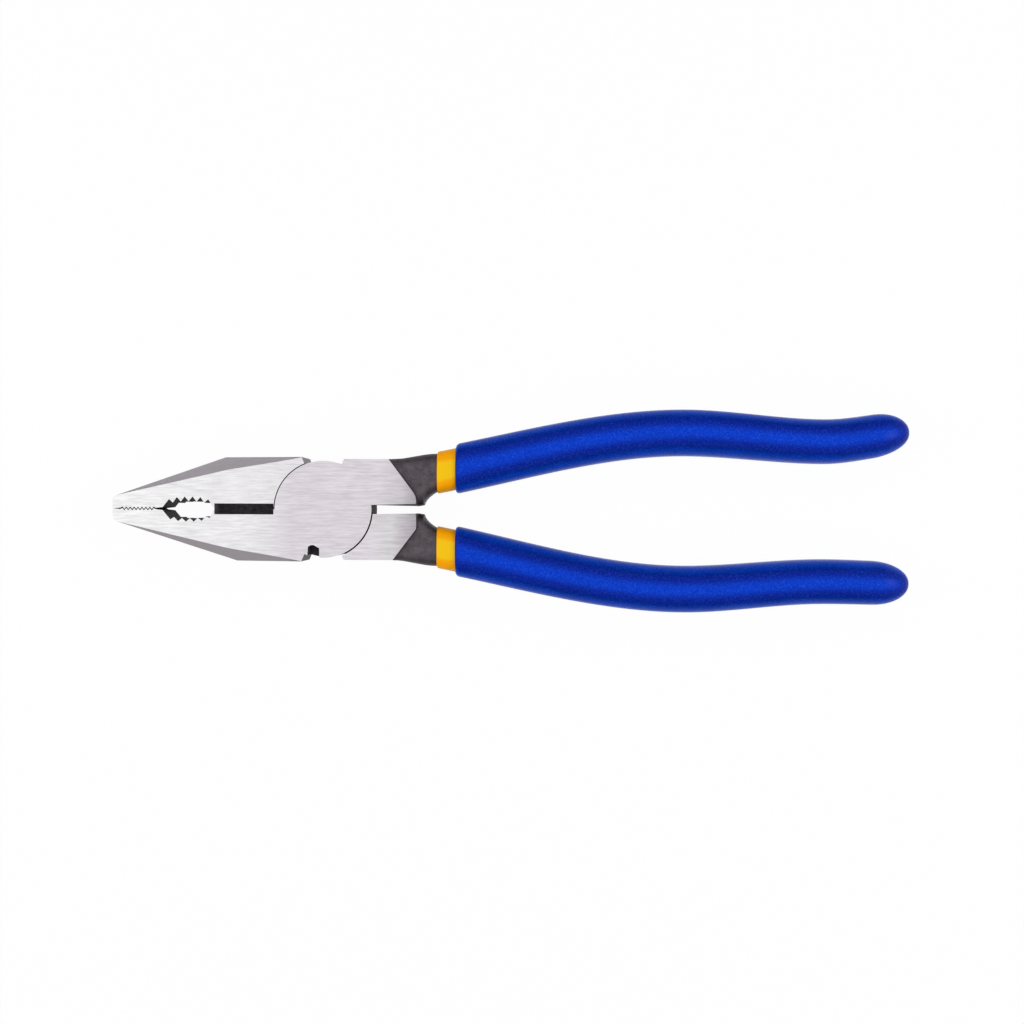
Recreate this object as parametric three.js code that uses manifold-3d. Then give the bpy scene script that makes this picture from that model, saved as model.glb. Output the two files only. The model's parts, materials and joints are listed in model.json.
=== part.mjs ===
// Combination pliers, closed and lying flat: jaws toward -X, grips toward +X, photographed face toward +Z.
// The origin is on the pivot axis, in the rear face of the head. All lengths are millimetres.
import * as THREE from "three";
import { mergeVertices } from "three/addons/utils/BufferGeometryUtils.js";
import Module from "manifold-3d";

// Head: two discs lapped over each other, with shoulders that stop the opening
const HEAD_THICKNESS = 11.5;
const DISC_RADIUS = 12.25;
const SEAM_CLEARANCE = 0.25;
const LAP_CLEARANCE = 0.12;
const JAW_SHOULDER_RISE = 0.95;
const HANDLE_SHOULDER_RISE = 0.5;
const JAW_STOP_ANGLE = 112.4;
const HANDLE_STOP_ANGLE = 67.5;

// Jaws
const JAW_REACH = 53.4;
const UPPER_JAW_SHOULDER = 25.5;
const LOWER_JAW_SHOULDER = 22.4;
const JAW_GAP = 0.1;
const UPPER_TIP_HEIGHT = 2.7;
const LOWER_TIP_HEIGHT = 2.57;
const TIP_CORNER_RUN = 1.0;
const TIP_CORNER_RISE = 0.68;
const TIP_THINNING = 0.8;
const BEVEL_BREAK_REACH = 24.0;
const BEVEL_BREAK_INSET = 3.3;
const BEVEL_END_REACH = 6.0;
const BEVEL_END_INSET = 0.2;
const BEVEL_DEPTH = 3.4;

// Fine serrations behind the tip, then the toothed pipe grip, then the cutters
const LIP_LENGTH = 2.0;
const SERRATION_COUNT = 9;
const SERRATION_PITCH = 1.0;
const SERRATION_DEPTH = 0.6;
const RELIEF_LENGTH = 1.75;
const RELIEF_DEPTH = 0.2;
const PIPE_GRIP_LENGTH = 13.15;
const UPPER_PIPE_GRIP_HEIGHT = 3.05;
const LOWER_PIPE_GRIP_HEIGHT = 3.25;
const PIPE_ARCH_EXPONENT = 2.6;
const PIPE_TOOTH_COUNT = 6;
const PIPE_TOOTH_PITCH = 2.0;
const UPPER_TOOTH_DEPTH = 1.25;
const LOWER_TOOTH_DEPTH = 0.9;
const UPPER_FIRST_TOOTH = 1.6;
const LOWER_FIRST_TOOTH = 1.95;
const CUTTER_SLOT_WIDTH = 2.35;
const CUTTER_BEVEL_DEPTH = 2.2;

// Shear notch in the rim of the disc
const NOTCH_OFFSET = 0.9;
const NOTCH_WIDTH = 2.85;
const NOTCH_DEPTH = 2.4;
const NOTCH_CROWN = 0.8;
const NOTCH_FLARE = 0.3;

// Rivet, peened into a countersink at each end
const RIVET_RADIUS = 4.0;
const RIVET_SINK = 1.2;
const RIVET_SEAT_CLEARANCE = 0.02;
const RIVET_RUNNING_CLEARANCE = 0.06;

// Ground shoulder and forged neck, in runs along the handle from the seam to the vinyl
const HANDLE_SLOT_WIDTH = 2.3;
const UPPER_SHOULDER_RUN = 4.0;
const LOWER_SHOULDER_RUN = 5.1;
const SHOULDER_DIAGONAL_RUN = 5.9;
const SHOULDER_CORNER_HEIGHT = 4.9;
const SHOULDER_INNER_RUN = 11.1;
const SHOULDER_TOE_RUN = 0.2;
const SHOULDER_TOE_HEIGHT = 1.9;
const SHOULDER_BELLY_HEIGHT = 3.4;
const NECK_ROOT_RUN = 2.0;
const NECK_LEDGE = 1.6;
const THROAT_RUN = 3.4;
const NECK_INSET = 0.2;
const NECK_DROP = 0.75;
const NECK_SQUARENESS = 5.0;

// Handle line, in runs from the vinyl's start to the palm swell, the waist and the far end
const COLLAR_LENGTH = 4.7;
const PALM_RUN = 63.4;
const WAIST_RUN = 36.0;
const END_RUN = 21.8;
const END_ROUNDING = 9.5;
const ROOT_OFFSET = 9.55;
const ROOT_SLOPE = 0.2;
const PALM_OFFSET = 20.1;
const WAIST_OFFSET = 18.0;
const UPPER_END_OFFSET = 20.3;
const LOWER_END_OFFSET = 18.4;

// Outer section of the grip, as half widths and half thicknesses
const ROOT_HALF_WIDTH = 6.45;
const PALM_HALF_WIDTH = 6.0;
const WAIST_HALF_WIDTH = 5.75;
const END_HALF_WIDTH = 5.6;
const GRIP_HALF_THICKNESS = 6.2;
const END_HALF_THICKNESS = 5.7;
const ROOT_SQUARENESS = 3.0;
const GRIP_SQUARENESS = 2.4;

// Vinyl layers
const GRIP_WALL = 1.0;
const SLEEVE_WALL = 0.42;
const LAYER_CLEARANCE = 0.06;
const GRIP_LIP_ROUNDING = 1.0;
const SLEEVE_LIP_ROUNDING = 0.4;
const LIP_FACE = 0.15;

// Facet counts, and how far a cutting shape runs past what it cuts
const DISC_SEGMENTS = 64;
const RIVET_SEGMENTS = 48;
const SECTION_POINTS = 32;
const SECTION_STEP = 8.0;
const END_RINGS = 4;
const LIP_RINGS = 3;
const SHOULDER_STEPS = 4;
const OVERSHOOT = 2.0;

// Fits and places worked out from the sizes above
const HALF_THICKNESS = HEAD_THICKNESS / 2;
const SEAM_RADIUS = DISC_RADIUS + SEAM_CLEARANCE;
const LAP_HEIGHT = LAP_CLEARANCE / 2;
const JAW_HALF_WIDTH = DISC_RADIUS + JAW_SHOULDER_RISE;
const SHOULDER_HALF_WIDTH = DISC_RADIUS + HANDLE_SHOULDER_RISE;
const SERRATION_START = -JAW_REACH + LIP_LENGTH;
const SERRATION_END = SERRATION_START + SERRATION_COUNT * SERRATION_PITCH;
const PIPE_GRIP_START = SERRATION_END + RELIEF_LENGTH;
const PIPE_GRIP_END = PIPE_GRIP_START + PIPE_GRIP_LENGTH;
const SLOT_HALF_WIDTH = HANDLE_SLOT_WIDTH / 2;
const SHOULDER_TOE = SEAM_RADIUS + SHOULDER_INNER_RUN;
const THROAT_START = SHOULDER_TOE + NECK_LEDGE;
const SLEEVE_START = THROAT_START + THROAT_RUN;
const GRIP_START = SLEEVE_START + COLLAR_LENGTH;
const PALM_REACH = SLEEVE_START + PALM_RUN;
const WAIST_REACH = PALM_REACH + WAIST_RUN;
const GRIP_REACH = WAIST_REACH + END_RUN;
const END_CENTRE = GRIP_REACH - END_ROUNDING;
const SLEEVE_INSET = GRIP_WALL + LAYER_CLEARANCE;
const TANG_INSET = SLEEVE_INSET + SLEEVE_WALL + LAYER_CLEARANCE;

const { degToRad, lerp, smoothstep } = THREE.MathUtils;
const wasm = await Module();
wasm.setup();

// Booleans: a three.js geometry becomes a solid, and a solid becomes a geometry again.
function solidOf(geometry) {
  const bare = new THREE.BufferGeometry();
  bare.setAttribute("position", geometry.getAttribute("position"));
  bare.setIndex(geometry.getIndex());
  const merged = mergeVertices(bare, 1e-4);
  return new wasm.Manifold(
    new wasm.Mesh({
      numProp: 3,
      vertProperties: new Float32Array(merged.getAttribute("position").array),
      triVerts: new Uint32Array(merged.getIndex().array),
    }),
  );
}

function geometryOf(solid) {
  const mesh = solid.getMesh();
  const geometry = new THREE.BufferGeometry();
  geometry.setAttribute("position", new THREE.BufferAttribute(mesh.vertProperties, 3));
  geometry.setIndex(new THREE.BufferAttribute(mesh.triVerts, 1));
  const faceted = geometry.toNonIndexed();
  faceted.computeVertexNormals();
  return faceted;
}

// An outline of [x, y] points, raised from one height to another.
function prism(points, bottom, top) {
  const shape = new THREE.Shape(points.map(([x, y]) => new THREE.Vector2(x, y)));
  const geometry = new THREE.ExtrudeGeometry(shape, { depth: top - bottom, bevelEnabled: false });
  return solidOf(geometry.translate(0, 0, bottom));
}

// A round plate about the pivot axis.
function plate(radius, bottom, top) {
  const geometry = new THREE.CylinderGeometry(radius, radius, top - bottom, DISC_SEGMENTS);
  geometry.rotateX(Math.PI / 2);
  return solidOf(geometry.translate(0, 0, (bottom + top) / 2));
}

// Grinds away what lies beyond the plane through three points, on the side that faces the given way along Z.
function grind(solid, a, b, c, facing) {
  const normal = new THREE.Vector3().crossVectors(b.clone().sub(a), c.clone().sub(a)).normalize();
  normal.multiplyScalar(Math.sign(normal.z * facing));
  const size = 4 * JAW_REACH;
  const block = new THREE.BoxGeometry(size, size, size).translate(0, 0, size / 2);
  block.applyQuaternion(new THREE.Quaternion().setFromUnitVectors(new THREE.Vector3(0, 0, 1), normal));
  return solid.subtract(solidOf(block.translate(a.x, a.y, a.z)));
}

// Height of the ground face above the middle plane: flat over the joint, lower toward the tip.
function faceHeight(x) {
  const along = Math.max(0, (-x - SEAM_RADIUS) / (JAW_REACH - SEAM_RADIUS));
  return HALF_THICKNESS - TIP_THINNING * along;
}

// Half-height of the pipe grip at x, to the bottom of its teeth.
function pipeArch(x, height) {
  const middle = (PIPE_GRIP_START + PIPE_GRIP_END) / 2;
  const share = Math.min(1, Math.abs(x - middle) / (PIPE_GRIP_LENGTH / 2));
  return height * (1 - share ** PIPE_ARCH_EXPONENT) ** (1 / PIPE_ARCH_EXPONENT);
}

// The biting edge of a lower jaw from the tip to the pivot. The phase makes the two jaws' teeth interlock.
function bitingEdge({ phase, firstTooth, toothDepth, pipeGripHeight }) {
  const closed = -JAW_GAP / 2;
  const edge = [[-JAW_REACH, closed], [SERRATION_START, closed]];
  for (let step = 1; step < 2 * SERRATION_COUNT; step += 1) {
    const side = step % 2 === 1 ? phase : -phase;
    const x = SERRATION_START + (step * SERRATION_PITCH) / 2;
    edge.push([x, closed + (side * SERRATION_DEPTH) / 2]);
  }
  edge.push([SERRATION_END, closed], [PIPE_GRIP_START, closed - RELIEF_DEPTH]);
  for (let tooth = 0; tooth < PIPE_TOOTH_COUNT; tooth += 1) {
    const valley = PIPE_GRIP_START + firstTooth + tooth * PIPE_TOOTH_PITCH;
    const crest = valley + PIPE_TOOTH_PITCH / 2;
    edge.push([valley, closed - Math.max(RELIEF_DEPTH, pipeArch(valley, pipeGripHeight))]);
    if (tooth < PIPE_TOOTH_COUNT - 1) {
      const height = pipeArch(crest, pipeGripHeight) - toothDepth;
      edge.push([crest, closed - Math.max(RELIEF_DEPTH, height)]);
    }
  }
  edge.push([PIPE_GRIP_END, closed], [0, closed]);
  return edge;
}

// Steep walls from both faces down to bevels that leave a cutting edge in the middle plane.
function cutterGroove() {
  const high = HALF_THICKNESS + OVERSHOOT;
  const wall = -CUTTER_SLOT_WIDTH / 2;
  const section = [
    [OVERSHOOT, high],
    [wall, high],
    [wall, CUTTER_BEVEL_DEPTH],
    [-JAW_GAP / 2, 0],
    [wall, -CUTTER_BEVEL_DEPTH],
    [wall, -high],
    [OVERSHOOT, -high],
  ];
  const shape = new THREE.Shape(section.map(([y, z]) => new THREE.Vector2(y, z)));
  const length = -SEAM_RADIUS - PIPE_GRIP_END;
  const geometry = new THREE.ExtrudeGeometry(shape, { depth: length, bevelEnabled: false });
  geometry.rotateX(Math.PI / 2);
  geometry.rotateZ(Math.PI / 2);
  return solidOf(geometry.translate(PIPE_GRIP_END, 0, 0));
}

// A lower jaw: thinned toward the tip, with two bevels along its back on each face.
function lowerJaw({ jawShoulder, tipHeight, bite }) {
  const stop = degToRad(JAW_STOP_ANGLE);
  const tipCorner = [-JAW_REACH + TIP_CORNER_RUN, -tipHeight - TIP_CORNER_RISE];
  const outline = [
    ...bitingEdge(bite),
    [JAW_HALF_WIDTH / Math.tan(stop), -JAW_HALF_WIDTH],
    [-jawShoulder, -JAW_HALF_WIDTH],
    tipCorner,
    [-JAW_REACH, -tipHeight],
  ];
  let jaw = prism(outline, -HALF_THICKNESS, HALF_THICKNESS);
  for (const facing of [1, -1]) {
    const onFace = (x, y, depth = 0) => new THREE.Vector3(x, y, facing * (faceHeight(x) - depth));
    const tip = onFace(...tipCorner);
    const middle = onFace(-BEVEL_BREAK_REACH, -JAW_HALF_WIDTH + BEVEL_BREAK_INSET);
    const end = onFace(-BEVEL_END_REACH, -JAW_HALF_WIDTH + BEVEL_END_INSET);
    const corner = onFace(-jawShoulder, -JAW_HALF_WIDTH, BEVEL_DEPTH);
    jaw = grind(jaw, onFace(-SEAM_RADIUS, 0), onFace(-SEAM_RADIUS, 1), onFace(-JAW_REACH, 0), facing);
    jaw = grind(jaw, tip, middle, corner, facing);
    jaw = grind(jaw, middle, end, corner, facing);
  }
  return jaw.subtract(cutterGroove());
}

// The full-thickness shoulder between the disc and the neck of an upper handle, rounded at its toe.
function shoulder(shoulderRun) {
  const stop = degToRad(HANDLE_STOP_ANGLE);
  const outer = SEAM_RADIUS + shoulderRun;
  const toe = new THREE.QuadraticBezierCurve(
    new THREE.Vector2(SHOULDER_TOE - SHOULDER_TOE_RUN / 2, SHOULDER_TOE_HEIGHT),
    new THREE.Vector2(SHOULDER_TOE, SHOULDER_BELLY_HEIGHT),
    new THREE.Vector2(outer + SHOULDER_DIAGONAL_RUN, SHOULDER_CORNER_HEIGHT),
  );
  const outline = [
    [0, SLOT_HALF_WIDTH],
    [SHOULDER_TOE - SHOULDER_TOE_RUN, SLOT_HALF_WIDTH],
    ...toe.getPoints(SHOULDER_STEPS).map(({ x, y }) => [x, y]),
    [outer, SHOULDER_HALF_WIDTH],
    [SHOULDER_HALF_WIDTH / Math.tan(stop), SHOULDER_HALF_WIDTH],
  ];
  return prism(outline, -HALF_THICKNESS, HALF_THICKNESS);
}

// A closed surface through rings of [x, y, z] points, from a first pole to a last pole.
function loft(firstPole, rings, lastPole) {
  const count = rings[0].length;
  const positions = [...firstPole, ...rings.flat(2), ...lastPole];
  const last = 1 + rings.length * count;
  const index = [];
  for (let k = 0; k < count; k += 1) {
    const next = (k + 1) % count;
    index.push(0, 1 + next, 1 + k);
    for (let r = 0; r < rings.length - 1; r += 1) {
      const here = 1 + r * count;
      const there = here + count;
      index.push(here + k, here + next, there + next);
      index.push(here + k, there + next, there + k);
    }
    index.push(last - count + k, last - count + next, last);
  }
  const geometry = new THREE.BufferGeometry();
  geometry.setAttribute("position", new THREE.Float32BufferAttribute(positions, 3));
  geometry.setIndex(index);
  geometry.computeVertexNormals();
  return geometry;
}

// A rounded-rectangle ring across the handle: squareness 2 is an ellipse, larger is squarer.
function ring(x, centre, halfWidth, halfThickness, squareness) {
  const bulge = (value) => Math.sign(value) * Math.abs(value) ** (2 / squareness);
  return Array.from({ length: SECTION_POINTS }, (_, k) => {
    const angle = (2 * Math.PI * k) / SECTION_POINTS;
    return [x, centre + halfWidth * bulge(Math.cos(angle)), halfThickness * bulge(Math.sin(angle))];
  });
}

// Follows values given at the vinyl's start, the palm, the waist and the end, level at all but the first.
function alongHandle(x, root, palm, waist, end, rootSlope = 0) {
  if (x > WAIST_REACH) {
    return lerp(waist, end, smoothstep(x, WAIST_REACH, GRIP_REACH));
  }
  if (x > PALM_REACH) {
    return lerp(palm, waist, smoothstep(x, PALM_REACH, WAIST_REACH));
  }
  const along = (x - SLEEVE_START) / PALM_RUN;
  const rise = rootSlope * PALM_RUN * along * (1 - along) ** 2;
  return lerp(root, palm, smoothstep(x, SLEEVE_START, PALM_REACH)) + rise;
}

function handleLine(x, endOffset) {
  return alongHandle(x, ROOT_OFFSET, PALM_OFFSET, WAIST_OFFSET, endOffset, ROOT_SLOPE);
}

// The ring of a layer at x, drawn in from the grip's outer surface by inset and scaled for the rounded end.
function layerRing(x, inset, endOffset, scale = 1) {
  const width = alongHandle(x, ROOT_HALF_WIDTH, PALM_HALF_WIDTH, WAIST_HALF_WIDTH, END_HALF_WIDTH);
  const full = GRIP_HALF_THICKNESS;
  const thickness = alongHandle(x, full, full, full, END_HALF_THICKNESS);
  const settled = smoothstep(x, SLEEVE_START, GRIP_START + SECTION_STEP);
  const squareness = lerp(ROOT_SQUARENESS, GRIP_SQUARENESS, settled);
  const centre = handleLine(x, endOffset);
  return ring(x, centre, scale * (width - inset), scale * (thickness - inset), squareness);
}

// Rings from just past a start to the rounded end, at stations that all layers share.
function layerRings(start, inset, endOffset) {
  const steps = Math.ceil((END_CENTRE - SLEEVE_START) / SECTION_STEP);
  const rings = [];
  for (let step = 1; step <= steps; step += 1) {
    const x = lerp(SLEEVE_START, END_CENTRE, step / steps);
    if (x > start + GRIP_LIP_ROUNDING) {
      rings.push(layerRing(x, inset, endOffset));
    }
  }
  for (let step = 1; step < END_RINGS; step += 1) {
    const angle = (step / END_RINGS) * (Math.PI / 2);
    const x = END_CENTRE + (END_ROUNDING - inset) * Math.sin(angle);
    rings.push(layerRing(x, inset, endOffset, Math.cos(angle)));
  }
  return rings;
}

function layerPole(inset, endOffset) {
  const x = END_CENTRE + END_ROUNDING - inset;
  return [x, handleLine(x, endOffset), 0];
}

// A dipped coat: a wall of even thickness, closed over the end, with a rounded lip at its start.
function coat(start, inset, wall, rounding, endOffset) {
  const inside = inset + wall;
  const inner = [layerRing(start, inside, endOffset), ...layerRings(start, inside, endOffset)];
  const outer = [];
  for (let step = 0; step < LIP_RINGS; step += 1) {
    const angle = (step / (LIP_RINGS - 1)) * (Math.PI / 2);
    const x = start + rounding * (1 - Math.cos(angle));
    outer.push(layerRing(x, inset + (wall - LIP_FACE) * (1 - Math.sin(angle)), endOffset));
  }
  outer.push(...layerRings(start, inset, endOffset));
  return loft(layerPole(inside, endOffset), [...inner.reverse(), ...outer], layerPole(inset, endOffset));
}

// The forged neck and the tang inside the vinyl, in one run from inside the shoulder to the rounded end.
function tang(endOffset) {
  const start = SEAM_RADIUS + NECK_ROOT_RUN;
  const collar = layerRing(SLEEVE_START, TANG_INSET, endOffset);
  const outerAtCollar = collar[0][1];
  const innerAtCollar = collar[SECTION_POINTS / 2][1];
  const heightAtCollar = GRIP_HALF_THICKNESS - TANG_INSET;
  const neck = (x, inner) => {
    const along = smoothstep(x, start, SLEEVE_START);
    const outer = lerp(SHOULDER_HALF_WIDTH - NECK_INSET, outerAtCollar, along);
    const height = lerp(HALF_THICKNESS - NECK_DROP, heightAtCollar, along);
    const squareness = lerp(NECK_SQUARENESS, ROOT_SQUARENESS, along);
    return ring(x, (outer + inner) / 2, (outer - inner) / 2, height, squareness);
  };
  const stations = [start, (start + THROAT_START) / 2, THROAT_START];
  const rings = stations.map((x) => neck(x, SLOT_HALF_WIDTH));
  for (let step = 1; step <= END_RINGS; step += 1) {
    const angle = (step / (END_RINGS + 1)) * (Math.PI / 2);
    const along = 1 - Math.cos(angle);
    const inner = lerp(SLOT_HALF_WIDTH, innerAtCollar, (along + Math.sin(angle)) / 2);
    rings.push(neck(THROAT_START + THROAT_RUN * along, inner));
  }
  rings.push(collar, ...layerRings(SLEEVE_START, TANG_INSET, endOffset));
  const first = [start, (SLOT_HALF_WIDTH + SHOULDER_HALF_WIDTH) / 2, 0];
  return loft(first, rings, layerPole(TANG_INSET, endOffset));
}

// The rivet, or with a clearance and an overshoot the hole that takes it.
function rivet(clearance = 0, overshoot = 0) {
  const shank = RIVET_RADIUS + clearance;
  const head = shank + RIVET_SINK;
  const sink = HALF_THICKNESS - RIVET_SINK;
  const end = HALF_THICKNESS + overshoot;
  const side = [[head, -HALF_THICKNESS], [shank, -sink], [shank, sink], [head, HALF_THICKNESS]];
  if (overshoot > 0) {
    side.unshift([head, -end]);
    side.push([head, end]);
  }
  const profile = [[0, -end], ...side, [0, end]].map(([radius, z]) => new THREE.Vector2(radius, z));
  return new THREE.LatheGeometry(profile, RIVET_SEGMENTS).rotateX(Math.PI / 2);
}

// The notch that opens from the disc's rim beside the jaw's stop.
function shearNotch() {
  const right = -NOTCH_OFFSET;
  const left = right - NOTCH_WIDTH;
  const rim = -DISC_RADIUS - OVERSHOOT;
  const floor = -DISC_RADIUS + NOTCH_DEPTH;
  const outline = [
    [left - NOTCH_FLARE, rim],
    [left, floor + NOTCH_CROWN / 2],
    [lerp(left, right, 1 / 4), floor + NOTCH_CROWN],
    [lerp(left, right, 1 / 2), floor + NOTCH_CROWN],
    [right, floor],
    [right, rim],
  ];
  return prism(outline, LAP_HEIGHT - OVERSHOOT, HALF_THICKNESS + OVERSHOOT);
}

// One forged half in its own frame: lower jaw, disc above the middle plane, upper handle.
function forgedHalf({ jaw, shoulderRun, endOffset, rivetClearance }) {
  const blank = lowerJaw(jaw).add(shoulder(shoulderRun)).add(solidOf(tang(endOffset)));
  const lapped = blank.subtract(plate(SEAM_RADIUS, -HALF_THICKNESS - OVERSHOOT, LAP_HEIGHT));
  const half = lapped.add(plate(DISC_RADIUS, LAP_HEIGHT, HALF_THICKNESS));
  return geometryOf(half.subtract(solidOf(rivet(rivetClearance, OVERSHOOT))).subtract(shearNotch()));
}

const steel = { color: 0xdcdadc, metalness: 0.9, roughness: 0.38 };
const rivetSteel = { color: 0xc4c2c6, metalness: 0.9, roughness: 0.45 };
const yellowVinyl = { color: 0xf0b414, metalness: 0.0, roughness: 0.5 };
const blueVinyl = { color: 0x0a2cb4, metalness: 0.0, roughness: 0.55 };

function named(name, geometry, look) {
  const mesh = new THREE.Mesh(geometry, new THREE.MeshStandardMaterial(look));
  mesh.name = name;
  return mesh;
}

// A handle's two coats of vinyl, named after the handle that they cover.
function coats(handle, endOffset) {
  const sleeve = coat(SLEEVE_START, SLEEVE_INSET, SLEEVE_WALL, SLEEVE_LIP_ROUNDING, endOffset);
  const grip = coat(GRIP_START, 0, GRIP_WALL, GRIP_LIP_ROUNDING, endOffset);
  return [named(`${handle}_inner_sleeve`, sleeve, yellowVinyl), named(`${handle}_grip`, grip, blueVinyl)];
}

// The front half has the lower jaw and the upper handle, and carries the rivet.
const lowerBite = {
  phase: 1,
  firstTooth: LOWER_FIRST_TOOTH,
  toothDepth: LOWER_TOOTH_DEPTH,
  pipeGripHeight: LOWER_PIPE_GRIP_HEIGHT,
};
const frontHalf = forgedHalf({
  jaw: { jawShoulder: LOWER_JAW_SHOULDER, tipHeight: LOWER_TIP_HEIGHT, bite: lowerBite },
  shoulderRun: UPPER_SHOULDER_RUN,
  endOffset: UPPER_END_OFFSET,
  rivetClearance: RIVET_SEAT_CLEARANCE,
});
const frontGroup = new THREE.Group();
frontGroup.position.z = HALF_THICKNESS;
frontGroup.add(named("front_half", frontHalf, steel), named("pivot_rivet", rivet(), rivetSteel));
frontGroup.add(...coats("upper", UPPER_END_OFFSET));

// The rear half is the same forging turned over about the long axis, and runs on the rivet.
const upperBite = {
  phase: -1,
  firstTooth: UPPER_FIRST_TOOTH,
  toothDepth: UPPER_TOOTH_DEPTH,
  pipeGripHeight: UPPER_PIPE_GRIP_HEIGHT,
};
const rearHalf = forgedHalf({
  jaw: { jawShoulder: UPPER_JAW_SHOULDER, tipHeight: UPPER_TIP_HEIGHT, bite: upperBite },
  shoulderRun: LOWER_SHOULDER_RUN,
  endOffset: LOWER_END_OFFSET,
  rivetClearance: RIVET_RUNNING_CLEARANCE,
});
const rearGroup = new THREE.Group();
rearGroup.position.z = HALF_THICKNESS;
rearGroup.rotation.x = Math.PI;
rearGroup.add(named("rear_half", rearHalf, steel), ...coats("lower", LOWER_END_OFFSET));

const pliers = new THREE.Group();
pliers.name = "combination_pliers";
pliers.add(frontGroup, rearGroup);

export default pliers;
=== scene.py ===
# Combination pliers, closed and lying flat on a white floor, with the jaws to the left.
import json
import math

import bmesh
import bpy
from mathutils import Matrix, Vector


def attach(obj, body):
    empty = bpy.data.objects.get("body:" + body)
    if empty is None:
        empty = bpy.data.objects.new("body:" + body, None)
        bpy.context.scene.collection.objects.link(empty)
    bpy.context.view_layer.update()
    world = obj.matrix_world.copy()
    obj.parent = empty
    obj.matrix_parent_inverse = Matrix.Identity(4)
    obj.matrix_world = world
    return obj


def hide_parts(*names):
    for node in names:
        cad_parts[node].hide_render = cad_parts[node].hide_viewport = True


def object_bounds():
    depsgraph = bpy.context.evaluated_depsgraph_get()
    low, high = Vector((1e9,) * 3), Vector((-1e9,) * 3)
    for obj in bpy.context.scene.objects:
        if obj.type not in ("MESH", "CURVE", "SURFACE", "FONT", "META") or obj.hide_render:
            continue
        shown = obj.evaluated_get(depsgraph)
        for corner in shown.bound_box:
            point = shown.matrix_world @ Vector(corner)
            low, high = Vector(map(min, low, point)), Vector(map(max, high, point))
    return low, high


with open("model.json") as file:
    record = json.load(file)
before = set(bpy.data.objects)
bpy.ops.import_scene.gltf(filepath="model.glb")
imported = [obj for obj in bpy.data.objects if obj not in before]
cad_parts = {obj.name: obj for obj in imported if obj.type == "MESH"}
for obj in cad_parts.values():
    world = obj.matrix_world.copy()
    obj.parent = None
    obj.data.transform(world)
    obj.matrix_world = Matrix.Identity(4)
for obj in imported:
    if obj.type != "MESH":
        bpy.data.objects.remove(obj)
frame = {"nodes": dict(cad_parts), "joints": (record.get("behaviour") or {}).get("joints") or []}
cad_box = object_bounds()


# The two forged halves. Each is one drop forging of tool steel with a jaw, half of the lapped joint and a
# tang. The head and the jaws' backs are ground bright after hardening, and the rest keeps its black oxide.
MILLIMETRE = 0.001
PIVOT = Vector(frame["joints"][0]["pos_m"])

# Sizes of a forging in millimetres. Places are measured from the pivot, along the tool and across it.
HALF_THICKNESS = 5.75
JAW_REACH = 53.4
TIP_THINNING = 0.8
TIP_DEPTH = 2.0
JAW_BACK_END = -4.0
JAW_BACK_OFFSET = -2.0
JAW_GAP = 0.1
CLOSED_GAP = 0.002
SERRATION_START = -51.4
SERRATION_GROOVE = 0.13
PIPE_GRIP_START = -40.65
PIPE_GRIP_END = -27.5
CUTTER_END = -11.5
CUTTER_SLOT_HALF_WIDTH = 1.175
CUTTER_SLOT_DRAFT = 0.2
BITE_HALF_HEIGHT = 3.6
BITE_FACE_REACH = 1.0
BITE_POINT_REACH = 0.6
SEAM_RADIUS = 12.5
SEAM_DRAFT = 0.12
RIM_DEPTH = 0.4
RIM_HALF_LENGTH = 5.5
RIVET_SEAT_RADIUS = 5.8
STOP_OFFSET = 11.5
STOP_NEAR = 3.0
STOP_FAR = 7.5
SLOT_HALF_WIDTH = 1.15
SLOT_DRAFT = 0.33
SLOT_FLARE = 0.2
SHOULDER_SIDE_OFFSET = 12.0
SHOULDER_SIDE_END = 15.0
SHOULDER_TOE = 23.6
NECK_START = 14.0
NECK_WALL_REACH = 0.4
NECK_FILLET = 0.3
EDGE_BREAK = 0.12
EDGE_BREAK_SEGMENTS = 2
SHORTEST_BROKEN_EDGE = 0.7

# How exactly a point or a face is told by its place, in millimetres.
POINT_TOLERANCE = 0.01
SEAM_TOLERANCE = 0.05
FACE_TOLERANCE = 0.1
MERGE_DISTANCE = 0.001
CUT_TOLERANCE = 0.0001

# Shares of a face's direction along an axis, which tell which way it looks.
LEVEL_FACING = 0.95
UPRIGHT_FACING = 0.1
BACK_FACING = 0.15
END_FACING = 0.5
SIDE_FACING = 0.7
WALL_FACING = 0.9

# Angles in degrees from which an edge is eased, shows as a crease or isn't merged away.
EDGE_BREAK_ANGLE = 20.0
SHARP_ANGLE = 38.0
GROUND_SHARP_ANGLE = 8.0
FLAT_SHARP_ANGLE = 0.3
MERGE_ANGLE = 0.3

# Finishes, with their colours and the places in millimetres where one tone gives way to the next.
GROUND_FACE, GROUND_EDGE, OXIDE, CAVITY, CUTTER = range(5)
# The ground faces' tones are their bright steel colour with painted reflection and shade over it: lightest
# at the jaw tips, darker over the disc and darkest at the shoulder's toe.
TIP_TONE = (0.87, 0.865, 0.87)
JAW_TONE = (0.805, 0.79, 0.81)
DISC_TONE = (0.695, 0.655, 0.70)
BAND_TONE = (0.655, 0.64, 0.655)
SHOULDER_TONE = (0.585, 0.55, 0.59)
TOE_TONE = (0.40, 0.37, 0.40)
# Painted shade on the ground walls: the same ground steel, darker on the bevels, darker still on the stop
# walls, and darker on the lower jaw than on the upper.
UPPER_BEVEL_SHADE = (0.60, 0.56, 0.60)
LOWER_BEVEL_SHADE = (0.42, 0.39, 0.415)
UPPER_STOP_SHADE = (0.35, 0.33, 0.35)
LOWER_STOP_SHADE = (0.15, 0.142, 0.15)
OXIDE_DARK = (0.036, 0.027, 0.035)
OXIDE_PALE = (0.100, 0.078, 0.096)
CAVITY_DARK = (0.030, 0.026, 0.030)
CAVITY_PALE = (0.085, 0.074, 0.085)
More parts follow.
